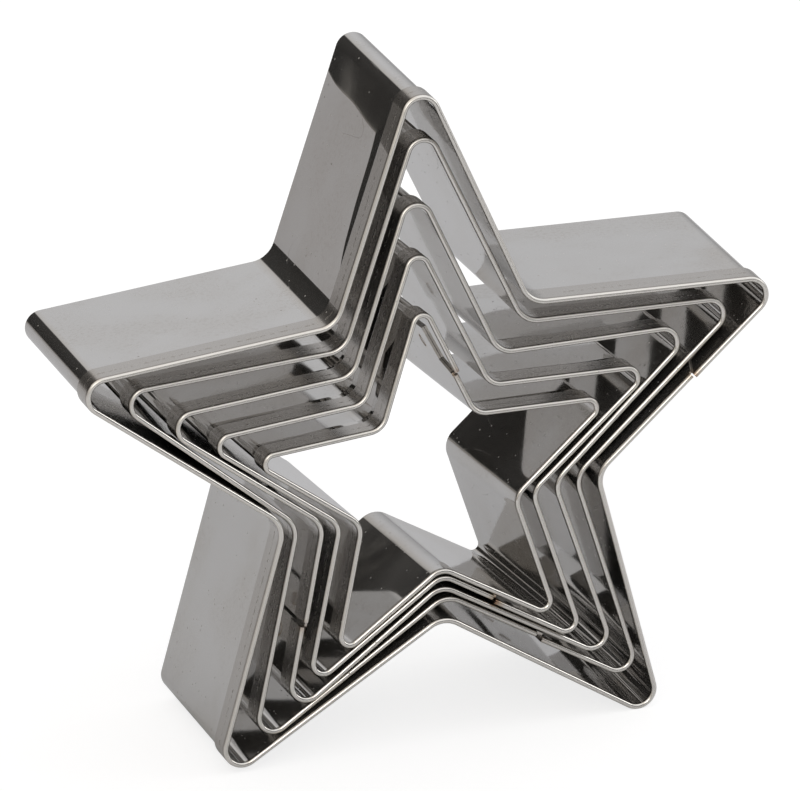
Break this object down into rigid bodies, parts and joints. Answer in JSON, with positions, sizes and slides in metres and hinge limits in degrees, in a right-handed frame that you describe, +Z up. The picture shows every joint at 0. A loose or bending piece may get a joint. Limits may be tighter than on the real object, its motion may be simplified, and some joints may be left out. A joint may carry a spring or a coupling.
{
  "type": "nested star cookie cutters",
  "caption": "Star-shaped cookie cutters in graded sizes, standing nested one inside the other; thin bright steel strips with hemmed rims and lapped, spot-welded seams.",
  "frame": {"origin": "on the ground, midway between the largest cutter's side points and halfway along the depth of the whole set", "axes": "+X to the right across the star, +Y from the hemmed rims to the cutting edges, +Z up"},
  "size_m": [0.08, 0.0282, 0.0767],
  "materials": {
    "bright_sheet": "bright-rolled stainless sheet, nearly mirror polished",
    "weld_spot": "resistance-welded spot, slightly heat tinted"
  },
  "bodies": {
    "largest_cutter": {"largest_cutter": "bright_sheet", "largest_cutter_spot_welds": "weld_spot"},
    "large_cutter": {"large_cutter": "bright_sheet", "large_cutter_spot_welds": "weld_spot"},
    "middle_cutter": {"middle_cutter": "bright_sheet", "middle_cutter_spot_welds": "weld_spot"},
    "small_cutter": {"small_cutter": "bright_sheet", "small_cutter_spot_welds": "weld_spot"},
    "smallest_cutter": {"smallest_cutter": "bright_sheet", "smallest_cutter_spot_welds": "weld_spot"}
  },
  "joints": [
    {"name": "large_cutter_lift_out", "type": "slide", "parent": "largest_cutter", "child": "large_cutter", "axis": [0, -1, 0], "range_m": [-0.027, 0.029]},
    {"name": "middle_cutter_lift_out", "type": "slide", "parent": "large_cutter", "child": "middle_cutter", "axis": [0.0018, -0.9998, 0.0191], "range_m": [-0.027, 0.027]},
    {"name": "small_cutter_lift_out", "type": "slide", "parent": "middle_cutter", "child": "small_cutter", "axis": [0.0032, -0.9993, 0.0386], "range_m": [-0.027, 0.027]},
    {"name": "smallest_cutter_lift_out", "type": "slide", "parent": "small_cutter", "child": "smallest_cutter", "axis": [0.0015, -0.9983, 0.0578], "range_m": [-0.027, 0.027]}
  ]
}
